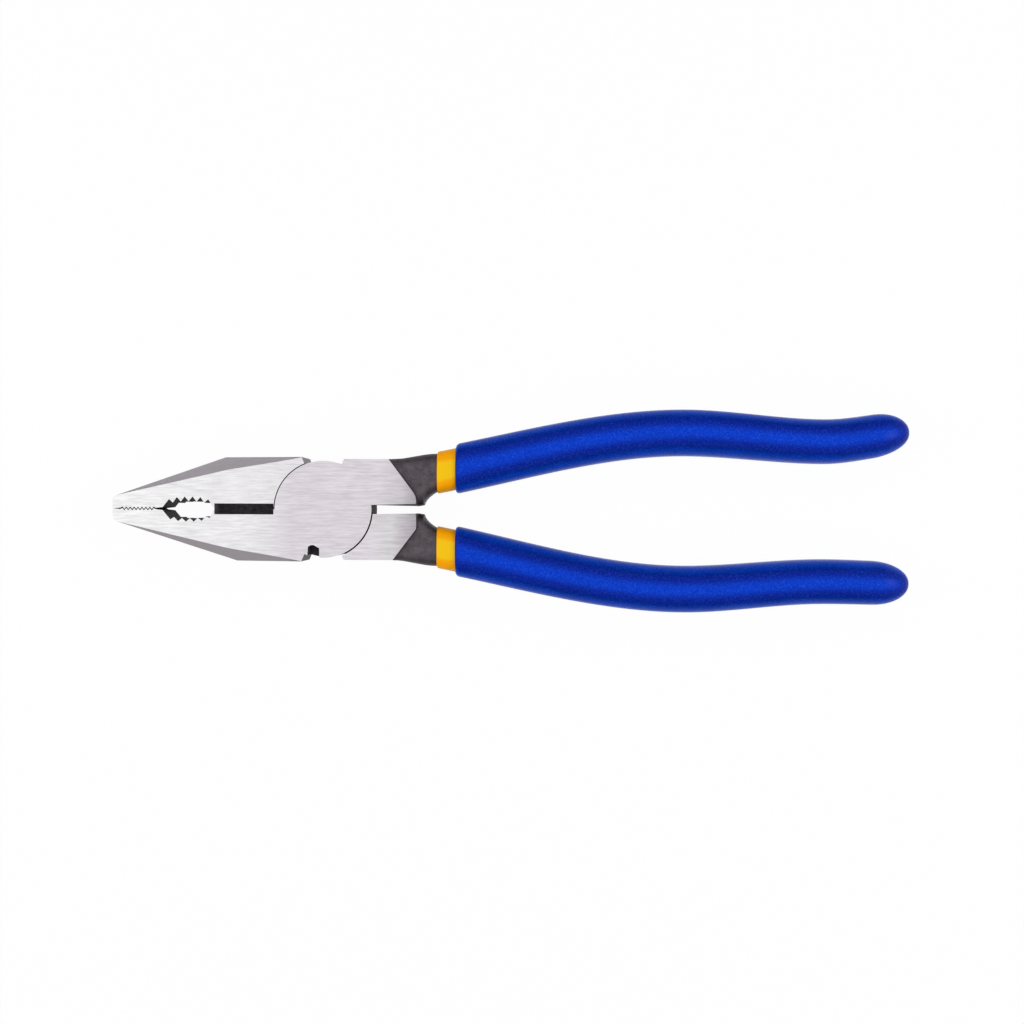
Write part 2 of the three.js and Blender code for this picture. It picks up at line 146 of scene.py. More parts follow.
# Painted light in the cutter slot: the cavity's oxide, made lighter.
CUTTER_DARK = (0.066, 0.058, 0.066)
CUTTER_PALE = (0.187, 0.163, 0.187)
TONE_START = -53.0
JAW_ROOT = -9.0
STOP_START = -5.5
TONE_END = 24.0
FACE_CONTRAST = 0.9
FACE_ROUGHNESS = 0.36
EDGE_CONTRAST = 0.5
EDGE_ROUGHNESS = 0.4
EDGE_RIM = 0.5
STREAK_LENGTH = 5.0
STREAK_WIDTH = 0.42
STREAK_SHARE = 0.7
SCRATCH_SHARE = 0.3
STREAK_HEIGHT = 0.6
SCRATCH_HEIGHT = 0.4
SCRATCH_FINENESS = 3.1
NOISE_MIDDLE = 0.5
SCALE_MOTTLE = 1.6
SCALE_SPECKLE = 0.3
OXIDE_ROUGHNESS = 0.5
OXIDE_LOW = 0.36
OXIDE_HIGH = 0.64
# Painted shade on the neck's oxide: full tone on its crown, darkened down its flanks.
FLANK_LIFT = 3.4
CROWN_LIFT = 4.6
FLANK_SHADE = 0.35


def put(tree, socket, value):
    """Links a socket or a figure to an input, or sets the input to a plain value."""
    if isinstance(value, Figure):
        value = value.socket
    if isinstance(value, bpy.types.NodeSocket):
        tree.links.new(value, socket)
    else:
        socket.default_value = value


def add_node(tree, kind, inputs=None, **settings):
    """One node of a tree, with its settings first and then its inputs."""
    made = tree.nodes.new(kind)
    for setting, value in settings.items():
        setattr(made, setting, value)
    for socket, value in (inputs or {}).items():
        put(tree, made.inputs[socket], value)
    return made


class Figure:
    """A number in a node tree, so that a rule of sizes reads as it would on paper."""

    def __init__(self, tree, socket):
        self.tree = tree
        self.socket = socket

    def worked(self, operation, *values):
        math_node = add_node(self.tree, "ShaderNodeMath", dict(enumerate(values)), operation=operation)
        return Figure(self.tree, math_node.outputs[0])

    def __add__(self, other):
        return self.worked("ADD", self, other)

    def __radd__(self, other):
        return self.worked("ADD", other, self)

    def __sub__(self, other):
        return self.worked("SUBTRACT", self, other)

    def __rsub__(self, other):
        return self.worked("SUBTRACT", other, self)

    def __mul__(self, other):
        return self.worked("MULTIPLY", self, other)

    def __rmul__(self, other):
        return self.worked("MULTIPLY", other, self)

    def __truediv__(self, other):
        return self.worked("DIVIDE", self, other)

    def __rtruediv__(self, other):
        return self.worked("DIVIDE", other, self)

    def __pow__(self, other):
        return self.worked("POWER", self, other)

    def __abs__(self):
        return self.worked("ABSOLUTE", self)

    def sine(self):
        return self.worked("SINE", self)

    def cosine(self):
        return self.worked("COSINE", self)

    def sign(self):
        return self.worked("SIGN", self)

    def share(self, low, high, first=0.0, last=1.0, ease="LINEAR"):
        """How far the figure is between two others, held at both ends, as a value from first to last."""
        ends = {"Value": self, "From Min": low, "From Max": high, "To Min": first, "To Max": last}
        mapped = add_node(self.tree, "ShaderNodeMapRange", ends, interpolation_type=ease)
        return Figure(self.tree, mapped.outputs[0])


def effect_group(name, inputs, outputs):
    """An empty shader group with named inputs and outputs, and its two end nodes."""
    tree = bpy.data.node_groups.new(name, "ShaderNodeTree")
    for label, kind in inputs.items():
        tree.interface.new_socket(label, in_out="INPUT", socket_type=kind)
    for label in outputs:
        tree.interface.new_socket(label, in_out="OUTPUT", socket_type="NodeSocketFloat")
    return tree, tree.nodes.new("NodeGroupInput"), tree.nodes.new("NodeGroupOutput")


def grinding_marks():
    """Streaks and fine scratches drawn out along the tool, as the grinding belt leaves them."""
    sizes = {"Position": "NodeSocketVector", "Length": "NodeSocketFloat", "Width": "NodeSocketFloat"}
    tree, given, result = effect_group("grinding marks", sizes, ["Streaks", "Scratches"])
    along = 1.0 / Figure(tree, given.outputs["Length"])
    across = 1.0 / Figure(tree, given.outputs["Width"])
    stretch = add_node(tree, "ShaderNodeCombineXYZ", {0: along, 1: across, 2: across})
    drawn = add_node(
        tree,
        "ShaderNodeVectorMath",
        {0: given.outputs["Position"], 1: stretch.outputs[0]},
        operation="MULTIPLY",
    )
    for label, scale in (("Streaks", 1.0), ("Scratches", SCRATCH_FINENESS)):
        noise = {"Vector": drawn.outputs[0], "Scale": scale, "Detail": 3.0, "Roughness": 0.6}
        texture = add_node(tree, "ShaderNodeTexNoise", noise)
        tree.links.new(texture.outputs["Fac"], result.inputs[label])
    return tree


def surface_grain():
    """A coarse mottle and a fine speckle, for scale left by the forge and for the skin of dipped vinyl."""
    sizes = {
        "Position": "NodeSocketVector",
        "Mottle Size": "NodeSocketFloat",
        "Speckle Size": "NodeSocketFloat",
    }
    tree, given, result = effect_group("surface grain", sizes, ["Mottle", "Speckle"])
    for label in ("Mottle", "Speckle"):
        scale = 1.0 / Figure(tree, given.outputs[f"{label} Size"])
        noise = {"Vector": given.outputs["Position"], "Scale": scale, "Detail": 3.0, "Roughness": 0.55}
        texture = add_node(tree, "ShaderNodeTexNoise", noise)
        tree.links.new(texture.outputs["Fac"], result.inputs[label])
    return tree


GRINDING_MARKS = grinding_marks()
SURFACE_GRAIN = surface_grain()


def new_material(name, metallic, gloss):
    """A material with its tree, its shader and the place of each point on the object."""
    material = bpy.data.materials.new(name)
    material.use_nodes = True
    tree = material.node_tree
    shader = tree.nodes["Principled BSDF"]
    shader.inputs["Metallic"].default_value = metallic
    shader.inputs["Specular IOR Level"].default_value = gloss
    place = add_node(tree, "ShaderNodeTexCoord").outputs["Object"]
    return material, tree, shader, place


def grain_of(tree, place, mottle_size, speckle_size):
    """The mottle and the speckle of a surface, with their sizes in millimetres."""
    grain = add_node(
        tree,
        "ShaderNodeGroup",
        {
            "Position": place,
            "Mottle Size": mottle_size * MILLIMETRE,
            "Speckle Size": speckle_size * MILLIMETRE,
        },
        node_tree=SURFACE_GRAIN,
    )
    return Figure(tree, grain.outputs["Mottle"]), Figure(tree, grain.outputs["Speckle"])


def part_of(tree, place, axis):
    """How far a place lies along one axis."""
    return Figure(tree, add_node(tree, "ShaderNodeSeparateXYZ", {0: place}).outputs[axis])


def varied(middle, swing, noise):
    """A value that swings about its middle with a noise."""
    return middle + swing * (noise - NOISE_MIDDLE)


def scaled(tree, colour, factor):
    """A colour made lighter or darker by a figure."""
    inputs = {"Vector": colour, "Scale": factor}
    return add_node(tree, "ShaderNodeVectorMath", inputs, operation="SCALE").outputs["Vector"]


def raise_bumps(tree, shader, height, distance, strength):
    """Feeds a height into the shader's normal; the distance is in millimetres."""
    bump = add_node(
        tree,
        "ShaderNodeBump",
        {"Height": height, "Distance": distance * MILLIMETRE, "Strength": strength},
    )
    tree.links.new(bump.outputs["Normal"], shader.inputs["Normal"])


def colour_along(tree, value, stops, ease="LINEAR"):
    """A colour that follows a value through stops of (value from 0 to 1, colour)."""
    ramp = add_node(tree, "ShaderNodeValToRGB", {"Fac": value})
    ramp.color_ramp.interpolation = ease
    elements = ramp.color_ramp.elements
    while len(elements) < len(stops):
        elements.new(0.5)
    for element, (position, colour) in zip(elements, stops):
        element.position = position
        element.color = (*colour, 1.0)
    return ramp.outputs["Color"]


def ground_steel(name, tones, contrast, roughness, rim=1.0):
    """Belt-ground steel whose tone follows stops along the tool, in millimetres from the pivot; the stops
    hold painted reflection and shade.
    """
    material, tree, shader, place = new_material(name, metallic=1.0, gloss=0.5)
    shader.inputs["Specular Tint"].default_value = (rim, rim, rim, 1.0)
    marks = add_node(
        tree,
        "ShaderNodeGroup",
        {"Position": place, "Length": STREAK_LENGTH * MILLIMETRE, "Width": STREAK_WIDTH * MILLIMETRE},
        node_tree=GRINDING_MARKS,
    )
    streaks = Figure(tree, marks.outputs["Streaks"])
    scratches = Figure(tree, marks.outputs["Scratches"])
    first = tones[0][0]
    last = tones[-1][0]
    travel = part_of(tree, place, "X").share(first * MILLIMETRE, last * MILLIMETRE)
    tone = colour_along(tree, travel, [((x - first) / (last - first), colour) for x, colour in tones])
    shade = varied(1.0, contrast, STREAK_SHARE * streaks + SCRATCH_SHARE * scratches)
    tree.links.new(scaled(tree, tone, shade), shader.inputs["Base Color"])
    put(tree, shader.inputs["Roughness"], varied(roughness, swing=0.16, noise=streaks))
    height = STREAK_HEIGHT * streaks + SCRATCH_HEIGHT * scratches
    raise_bumps(tree, shader, height, distance=0.012, strength=0.35)
    return material


def oxide_steel(name, dark, pale, gloss, flank_shade=1.0):
    """Forging scale under black oxide: nearly black, mottled and slightly rough, with painted shade that
    darkens it down its flanks.
    """
    material, tree, shader, place = new_material(name, metallic=0.0, gloss=gloss)
    mottle, speckle = grain_of(tree, place, SCALE_MOTTLE, SCALE_SPECKLE)
    depth = 0.5 * mottle + 0.5 * speckle
    tone = colour_along(tree, depth, [(OXIDE_LOW, dark), (OXIDE_HIGH, pale)])
    # Painted shade: the tone is scaled down where a point lies low on the flank, away from the crown.
    lift = abs(part_of(tree, place, "Z") - PIVOT.z)
    painted_flank_shade = lift.share(FLANK_LIFT * MILLIMETRE, CROWN_LIFT * MILLIMETRE, flank_shade, 1.0)
    tree.links.new(scaled(tree, tone, painted_flank_shade), shader.inputs["Base Color"])
    put(tree, shader.inputs["Roughness"], varied(OXIDE_ROUGHNESS, swing=0.2, noise=mottle))
    raise_bumps(tree, shader, depth, distance=0.05, strength=0.5)
    return material


def own_view(vector, turned):
    """A direction or a place in the half's own drawing: the rear half is the same forging turned over."""
    return Vector((vector.x, -vector.y, -vector.z)) if turned else vector.copy()


def own_place(point, turned):
    """A point's place in the half's own drawing, in millimetres from the pivot."""
    return own_view(point - PIVOT, turned) / MILLIMETRE


def is_neck_wall(centre, normal):
    """Whether a face is the step from the ground shoulder down to the neck."""
    faces_handle = abs(normal.z) < UPRIGHT_FACING and normal.x > END_FACING
    return faces_handle and NECK_START < centre.x < SHOULDER_TOE + NECK_WALL_REACH


def finish_of(centre, normal):
    """Which finish a face of a half has, from its place in millimetres and its direction."""
    along = max(0.0, (-centre.x - SEAM_RADIUS) / (JAW_REACH - SEAM_RADIUS))
    face_height = HALF_THICKNESS - TIP_THINNING * along
    if abs(normal.z) > LEVEL_FACING and abs(abs(centre.z) - face_height) < FACE_TOLERANCE:
        return GROUND_FACE
    jaw_back = centre.x < JAW_BACK_END and centre.y < JAW_BACK_OFFSET and normal.y < -BACK_FACING
    tip = centre.x < TIP_DEPTH - JAW_REACH and normal.x < -END_FACING
    stop_wall = abs(centre.y) > STOP_OFFSET and STOP_NEAR < abs(centre.x) < STOP_FAR
    at_shoulder = centre.y > SHOULDER_SIDE_OFFSET and centre.x < SHOULDER_SIDE_END
    shoulder_side = at_shoulder and normal.y > SIDE_FACING
    rim = abs(centre.xy.length - SEAM_RADIUS) < RIM_DEPTH and abs(centre.x) < RIM_HALF_LENGTH
    if jaw_back or tip or stop_wall or shoulder_side or rim:
        return GROUND_EDGE
    beside_cutter = PIPE_GRIP_END - FACE_TOLERANCE < centre.x < FACE_TOLERANCE - SEAM_RADIUS
    if beside_cutter and abs(centre.y) < CUTTER_SLOT_HALF_WIDTH + FACE_TOLERANCE:
        return CUTTER
    slot_wall = normal.y < -WALL_FACING and centre.y < SLOT_HALF_WIDTH + FACE_TOLERANCE
    neck = centre.x > NECK_START and not slot_wall and not is_neck_wall(centre, normal)
    return OXIDE if neck else CAVITY


def split_the_serrations(shape, turned):
    """Cuts the serrations along half thickness, where the two jaws touch when they are shut."""
    bite = []
    for face in shape.faces:
        centre = own_place(face.calc_center_median(), turned)
        in_bite = centre.x < PIPE_GRIP_START and abs(centre.y) < BITE_FACE_REACH
        if face.material_index == CAVITY and in_bite:
            bite.append(face)
    edges = {edge for face in bite for edge in face.edges}
    points = {vert for face in bite for vert in face.verts}
    bmesh.ops.bisect_plane(
        shape,
        geom=[*bite, *edges, *points],
        plane_co=PIVOT,
        plane_no=(0.0, 0.0, 1.0),
        dist=CUT_TOLERANCE * MILLIMETRE,
    )


def fitted(place):
    """Where a point ends up: the bite closed, the serrations grooved, slots and seam given a draft."""
    halfway = abs(place.z) < POINT_TOLERANCE
    on_front = place.z > HALF_THICKNESS - FACE_TOLERANCE
    on_rear = place.z < FACE_TOLERANCE - HALF_THICKNESS
    along_serrations = -JAW_REACH - FACE_TOLERANCE < place.x < PIPE_GRIP_START + FACE_TOLERANCE
    in_serrations = along_serrations and abs(place.y) < BITE_POINT_REACH
    on_bite_line = abs(place.y + JAW_GAP / 2) < POINT_TOLERANCE
    on_cutter = on_bite_line and PIPE_GRIP_START < place.x < CUTTER_END
    on_grip_end = on_cutter and place.x < PIPE_GRIP_END + POINT_TOLERANCE
    beside_cutter = PIPE_GRIP_END - POINT_TOLERANCE < place.x < POINT_TOLERANCE - SEAM_RADIUS
    beside_slot = SEAM_RADIUS < place.x < SHOULDER_TOE + FACE_TOLERANCE
    on_seam = abs(place.xy.length - SEAM_RADIUS) < SEAM_TOLERANCE and place.x > 0.0
    if (halfway and (in_serrations or on_cutter)) or on_grip_end:
        place.y += (JAW_GAP - CLOSED_GAP) / 2
    elif in_serrations and place.x > SERRATION_START - FACE_TOLERANCE:
        place.y -= SERRATION_GROOVE
    elif beside_cutter and abs(place.y + CUTTER_SLOT_HALF_WIDTH) < POINT_TOLERANCE:
        place.y -= CUTTER_SLOT_DRAFT
    elif beside_slot and abs(place.y - SLOT_HALF_WIDTH) < POINT_TOLERANCE:
        place.y += SLOT_DRAFT if on_front else -SLOT_FLARE
    elif on_seam and on_rear:
        place.xy *= 1.0 + SEAM_DRAFT / SEAM_RADIUS
    return place


def ease_the_neck(shape, turned):
    """Slopes the step between the ground shoulder and the neck, so that its foot runs out onto the neck."""
    slopes = {}
    for face in shape.faces:
        centre = own_place(face.calc_center_median(), turned)
        normal = own_view(face.normal, turned)
        if is_neck_wall(centre, normal):
            for vert in face.verts:
                slopes.setdefault(vert, Vector()).xy += normal.xy
    for vert, slope in slopes.items():
        if abs(own_place(vert.co, turned).z) < HALF_THICKNESS - FACE_TOLERANCE:
            vert.co = vert.co + own_view(slope.normalized() * NECK_FILLET, turned) * MILLIMETRE


def is_ground(edge):
    """Whether an edge borders a ground face or a ground edge."""
    return any(face.material_index in (GROUND_FACE, GROUND_EDGE) for face in edge.link_faces)


def crease_angle(edge):
    """The turn in degrees from which an edge of a half shows as a crease."""
    if all(face.material_index == GROUND_FACE for face in edge.link_faces):
        return FLAT_SHARP_ANGLE
    return GROUND_SHARP_ANGLE if is_ground(edge) else SHARP_ANGLE


def is_broken_edge(edge, turned):
    """Whether a sharp edge was eased: those of the ground faces, away from the teeth and the rivet."""
    if len(edge.link_faces) != 2 or edge.calc_length() < SHORTEST_BROKEN_EDGE * MILLIMETRE:
        return False
    middle = own_place((edge.verts[0].co + edge.verts[1].co) / 2, turned)
    bites = middle.x < -SEAM_RADIUS and abs(middle.y) < BITE_HALF_HEIGHT
    riveted = middle.xy.length < RIVET_SEAT_RADIUS
    turn = math.degrees(edge.calc_face_angle(0.0))
    return is_ground(edge) and turn > EDGE_BREAK_ANGLE and not bites and not riveted


def merged_shape(node):
    """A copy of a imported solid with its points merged."""
    shape = bmesh.new()
    shape.from_mesh(frame["nodes"][node].data)
    bmesh.ops.remove_doubles(shape, verts=shape.verts, dist=MERGE_DISTANCE * MILLIMETRE)
    return shape


def finished_piece(name, shape, materials):
    """An object of the scene from a shape, which is used up, and its materials."""
    mesh = bpy.data.meshes.new(name)
    shape.to_mesh(mesh)
    shape.free()
    for material in materials:
        mesh.materials.append(material)
    piece = bpy.data.objects.new(name, mesh)
    bpy.context.scene.collection.objects.link(piece)
    return piece


def forged_half(name, node, turned, materials):
    """The visible forging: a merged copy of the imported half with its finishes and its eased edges."""
    shape = merged_shape(node)
    bmesh.ops.dissolve_limit(
        shape, angle_limit=math.radians(MERGE_ANGLE), verts=shape.verts, edges=shape.edges
    )
    shape.normal_update()
    for face in shape.faces:
        centre = own_place(face.calc_center_median(), turned)
        face.material_index = finish_of(centre, own_view(face.normal, turned))
        face.smooth = True
    split_the_serrations(shape, turned)
    for vert in shape.verts:
        place = fitted(own_place(vert.co, turned))
        vert.co = PIVOT + own_view(place, turned) * MILLIMETRE
    ease_the_neck(shape, turned)
    shape.normal_update()
    weight = shape.edges.layers.float.new("bevel_weight_edge")
    for edge in shape.edges:
        edge.smooth = math.degrees(edge.calc_face_angle(0.0)) < crease_angle(edge)
        edge[weight] = 1.0 if is_broken_edge(edge, turned) else 0.0
    half = finished_piece(name, shape, materials)
    easing = half.modifiers.new("eased edges", "BEVEL")
    easing.limit_method = "WEIGHT"
    easing.width = EDGE_BREAK * MILLIMETRE
    easing.segments = EDGE_BREAK_SEGMENTS
    easing.harden_normals = True
    return half


def ground_edge(name, bevel, stop):
    """The ground walls of a half: the bevels of its jaw's back, and behind them the wall of its stop, each
    in a tone of painted shade.
    """
    tones = [(TONE_START, bevel), (JAW_ROOT, bevel), (STOP_START, stop), (TONE_END, stop)]
    return ground_steel(name, tones, EDGE_CONTRAST, EDGE_ROUGHNESS, rim=EDGE_RIM)


# The ground faces, with the tones of painted reflection and shade along the tool.
front_face = ground_steel(
    "front_ground_face",
    [
        (TONE_START, TIP_TONE),
        (-18.0, JAW_TONE),
        (-8.0, DISC_TONE),
        (14.5, DISC_TONE),
        (20.0, SHOULDER_TONE),
        (SHOULDER_TOE, TOE_TONE),
    ],
    FACE_CONTRAST,
    FACE_ROUGHNESS,
)
rear_face = ground_steel(
    "rear_ground_face",
    [
        (TONE_START, TIP_TONE),
        (-18.0, JAW_TONE),
        (11.5, DISC_TONE),
        (17.4, BAND_TONE),
        (18.9, SHOULDER_TONE),
        (SHOULDER_TOE, TOE_TONE),
    ],
    FACE_CONTRAST,
    FACE_ROUGHNESS,
)
# The lower jaw's walls take deeper painted shade than the upper jaw's.
front_edge = ground_edge("front_ground_edge", LOWER_BEVEL_SHADE, LOWER_STOP_SHADE)
rear_edge = ground_edge("rear_ground_edge", UPPER_BEVEL_SHADE, UPPER_STOP_SHADE)
black_oxide = oxide_steel("black_oxide", OXIDE_DARK, OXIDE_PALE, gloss=0.4, flank_shade=FLANK_SHADE)
cavity_oxide = oxide_steel("cavity_oxide", CAVITY_DARK, CAVITY_PALE, gloss=0.02)
# The cutter slot's oxide is lightened with painted light.
painted_light_cutter_oxide = oxide_steel("painted_light_cutter_oxide", CUTTER_DARK, CUTTER_PALE, gloss=0.02)

front_finishes = [front_face, front_edge, black_oxide, cavity_oxide, painted_light_cutter_oxide]
front_forging = forged_half("front_forging", "front_half", False, front_finishes)
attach(front_forging, "front")
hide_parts("front_half")

rear_finishes = [rear_face, rear_edge, black_oxide, cavity_oxide, painted_light_cutter_oxide]
rear_forging = forged_half("rear_forging", "rear_half", True, rear_finishes)
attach(rear_forging, "rear")
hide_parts("rear_half")


# The pivot rivet: a steel pin through both halves, peened into a countersink at each end. Its ends are
# ground flush together with the head, so the belt's marks run straight on across them.
RIVET_HEAD_RADIUS = 5.2
RIVET_SEAT_CLEARANCE = 0.02

# The rivet's ends take the disc's tone, its painted reflection included.
rivet_tones = [(TONE_START, DISC_TONE), (TONE_END, DISC_TONE)]
rivet_steel = ground_steel("rivet_steel", rivet_tones, FACE_CONTRAST, FACE_ROUGHNESS)
rivet_shape = merged_shape("pivot_rivet")
for vert in rivet_shape.verts:
    vert.co.xy *= 1.0 + RIVET_SEAT_CLEARANCE / RIVET_HEAD_RADIUS
peened_rivet = finished_piece("peened_rivet", rivet_shape, [rivet_steel])
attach(peened_rivet, "front")
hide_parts("pivot_rivet")


# The inner sleeves: the first coat of vinyl, yellow, dipped over the whole of each tang. Only a collar of
# it shows between the forged neck and the outer grip.
HANDLE_SIZES = {
    "Vinyl Start": 28.6,
    "Palm Reach": 92.0,
    "Waist Reach": 128.0,
    "Grip Reach": 149.8,
    "End Centre": 140.3,
    "End Rounding": 9.5,
    "Root Offset": 9.55,
    "Root Slope": 0.2,
    "Palm Offset": 20.1,
    "Waist Offset": 18.0,
    "Root Half Width": 6.45,
    "Palm Half Width": 6.0,
    "Waist Half Width": 5.75,
    "End Half Width": 5.6,
    "Grip Half Thickness": 6.2,
    "End Half Thickness": 5.7,
    "Square Until": 41.3,
    "Middle Height": 5.75,
}
ROOT_SQUARENESS = 3.0
GRIP_SQUARENESS = 2.4
COAT_SIZES = ["Start", "Inset", "Wall", "Lip Rounding", "End Offset"]
COAT_COLUMNS = 72
COAT_ROWS = 101
INNER_CAP, INNER_RUN, LIP, OUTER_RUN = 0.06, 0.30, 0.38, 0.86
# Painted shade on the collars: paler yellow across the top, deeper orange down the sides.
YELLOW_PAINTED_SHADE_TONES = [
    (0.945, (0.98, 0.395, 0.0003)),
    (0.98, (0.92, 0.55, 0.005)),
]
YELLOW_ROUGHNESS = 0.42
YELLOW_MOTTLE = 4.0
YELLOW_SPECKLE = 0.4
UPPER_END_OFFSET = 20.3
LOWER_END_OFFSET = 18.4
SLEEVE_SIZES = {"start": 28.6, "inset": 1.06, "wall": 0.42, "lip_rounding": 0.4}


def coat_tree():
    """A dipped coat as one skin: from its inner end to the lip, round it, and back to its outer end."""
    tree = bpy.data.node_groups.new("dipped coat", "GeometryNodeTree")
    tree.interface.new_socket("Geometry", in_out="OUTPUT", socket_type="NodeSocketGeometry")
    for label in [*COAT_SIZES, *HANDLE_SIZES]:
        socket = tree.interface.new_socket(label, in_out="INPUT", socket_type="NodeSocketFloat")
        socket.default_value = HANDLE_SIZES.get(label, 0.0) * MILLIMETRE
    tree.interface.items_tree["Root Slope"].default_value = HANDLE_SIZES["Root Slope"]
    tree.interface.new_socket("Side", in_out="INPUT", socket_type="NodeSocketFloat")
    tree.interface.new_socket("Material", in_out="INPUT", socket_type="NodeSocketMaterial")
    given = tree.nodes.new("NodeGroupInput")
    result = tree.nodes.new("NodeGroupOutput")

    def size(label):
        return Figure(tree, given.outputs[label])

    sheet = add_node(
        tree,
        "GeometryNodeMeshGrid",
        {"Size X": 1.0, "Size Y": 1.0, "Vertices X": COAT_COLUMNS + 1, "Vertices Y": COAT_ROWS},
    )
    spot = tree.nodes.new("GeometryNodeInputPosition").outputs["Position"]
    angle = (part_of(tree, spot, "X") + 0.5) * (2.0 * math.pi)
    row = part_of(tree, spot, "Y") + 0.5

    lip = row.share(INNER_RUN, LIP, 0.0, math.pi / 2)
    travel = row.share(INNER_CAP, INNER_RUN, 1.0, 0.0) + row.share(LIP, OUTER_RUN)
    cap = row.share(0.0, INNER_CAP, math.pi / 2, 0.0) + row.share(OUTER_RUN, 1.0, 0.0, math.pi / 2)
    inset = size("Inset") + size("Wall") * (1.0 - lip.sine())
    begin = size("Start") + size("Lip Rounding") * (1.0 - lip.cosine())
    along = begin + (size("End Centre") - begin) * travel + (size("End Rounding") - inset) * cap.sine()

    to_palm = along.share(size("Vinyl Start"), size("Palm Reach"), ease="SMOOTHSTEP")
    to_waist = along.share(size("Palm Reach"), size("Waist Reach"), ease="SMOOTHSTEP")
    to_end = along.share(size("Waist Reach"), size("Grip Reach"), ease="SMOOTHSTEP")

    def follow(root, palm, waist, end):
        return root + (palm - root) * to_palm + (waist - palm) * to_waist + (end - waist) * to_end

    run = along.share(size("Vinyl Start"), size("Palm Reach"))
    rise = size("Root Slope") * (size("Palm Reach") - size("Vinyl Start")) * run * (1.0 - run) ** 2.0
    line = follow(size("Root Offset"), size("Palm Offset"), size("Waist Offset"), size("End Offset")) + rise
    width = follow(
        size("Root Half Width"), size("Palm Half Width"), size("Waist Half Width"), size("End Half Width")
    )
    full = size("Grip Half Thickness")
    thickness = follow(full, full, full, size("End Half Thickness"))
    squareness = along.share(
        size("Vinyl Start"), size("Square Until"), ROOT_SQUARENESS, GRIP_SQUARENESS, ease="SMOOTHSTEP"
    )

    def bulge(value):
        return value.sign() * abs(value) ** (2.0 / squareness)

    across = line + cap.cosine() * (width - inset) * bulge(angle.cosine())
    height = cap.cosine() * (thickness - inset) * bulge(angle.sine())
    place = add_node(
        tree,
        "ShaderNodeCombineXYZ",
        {0: along, 1: size("Side") * across, 2: size("Middle Height") + size("Side") * height},
    )
    skin = add_node(
        tree, "GeometryNodeSetPosition", {"Geometry": sheet.outputs["Mesh"], "Position": place.outputs[0]}
    )
    closed = add_node(
        tree,
        "GeometryNodeMergeByDistance",
        {"Geometry": skin.outputs["Geometry"], "Distance": MERGE_DISTANCE * MILLIMETRE},
    )
    smooth = add_node(tree, "GeometryNodeSetShadeSmooth", {"Geometry": closed.outputs["Geometry"]})
    real = add_node(tree, "GeometryNodeRealizeInstances", {"Geometry": smooth.outputs["Geometry"]})
    dressed = add_node(
        tree,
        "GeometryNodeSetMaterial",
        {"Geometry": real.outputs["Geometry"], "Material": given.outputs["Material"]},
    )
    tree.links.new(dressed.outputs["Geometry"], result.inputs["Geometry"])
    return tree


DIPPED_COAT = coat_tree()


def dipped_coat(name, side, material, **sizes):
    """One coat as a plain mesh, with its sizes in millimetres; the side is 1 above and -1 below."""
    coat = bpy.data.objects.new(name, bpy.data.meshes.new(name))
    bpy.context.scene.collection.objects.link(coat)
    dipping = coat.modifiers.new("dipping", "NODES")
    dipping.node_group = DIPPED_COAT
    sockets = {item.name: item.identifier for item in DIPPED_COAT.interface.items_tree}
    for label, value in sizes.items():
        dipping[sockets[label.replace("_", " ").title()]] = value * MILLIMETRE
    dipping[sockets["Side"]] = side
    dipping[sockets["Material"]] = material
    evaluated = coat.evaluated_get(bpy.context.evaluated_depsgraph_get())
    mesh = bpy.data.meshes.new_from_object(evaluated)
    coat.modifiers.remove(dipping)
    coat.data = mesh
    mesh.name = name
    return coat


def yellow_vinyl():
    """Smooth satin vinyl with painted shade: paler across the top and deeper in colour down the sides."""
    material, tree, shader, place = new_material("yellow_vinyl", metallic=0.0, gloss=0.08)
    mottle, speckle = grain_of(tree, place, YELLOW_MOTTLE, YELLOW_SPECKLE)
    half_thickness = HANDLE_SIZES["Grip Half Thickness"] - SLEEVE_SIZES["inset"]
    middle = HANDLE_SIZES["Middle Height"] * MILLIMETRE
    lift = abs(part_of(tree, place, "Z") - middle) / (half_thickness * MILLIMETRE)
    tone = colour_along(tree, varied(lift, swing=0.04, noise=mottle), YELLOW_PAINTED_SHADE_TONES)
    tree.links.new(tone, shader.inputs["Base Color"])
    put(tree, shader.inputs["Roughness"], varied(YELLOW_ROUGHNESS, swing=0.16, noise=mottle))
    raise_bumps(tree, shader, speckle, distance=0.02, strength=0.2)
    return material


yellow = yellow_vinyl()

upper_sleeve = dipped_coat("upper_sleeve", 1.0, yellow, end_offset=UPPER_END_OFFSET, **SLEEVE_SIZES)
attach(upper_sleeve, "front")
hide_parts("upper_inner_sleeve")

lower_sleeve = dipped_coat("lower_sleeve", -1.0, yellow, end_offset=LOWER_END_OFFSET, **SLEEVE_SIZES)
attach(lower_sleeve, "rear")
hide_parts("lower_inner_sleeve")


# The outer grips: the second, thicker coat of vinyl, blue, dipped over the first one. It swells at the
# palm, narrows at the waist and closes in a rounded end, and its skin has a fine matt grain.
# Painted light on the grips: a paler band along the crown, darker bands down the flanks and paler again
# towards the sides.
BLUE_PAINTED_LIGHT_TONES = [
    (0.08, (0.0008, 0.042, 0.555)),
    (0.45, (0.0003, 0.015, 0.295)),
    (0.58, (0.0003, 0.016, 0.256)),
    (0.86, (0.001, 0.046, 0.45)),
    (1.0, (0.002, 0.06, 0.5)),
]
BLUE_ROUGHNESS = 0.3
BLUE_MOTTLE = 7.0
BLUE_SPECKLE = 0.38
# Painted glints: the bright spots of the speckle are added to the colour as painted highlights.
GLINT_TONE = (0.012, 0.026, 0.03)
GLINT_START = 0.5
GLINT_FULL = 0.75
SHEEN_WEIGHT = 0.2
SHEEN_ROUGHNESS = 0.3
SHEEN_TINT = (0.75, 0.8, 1.0, 1.0)
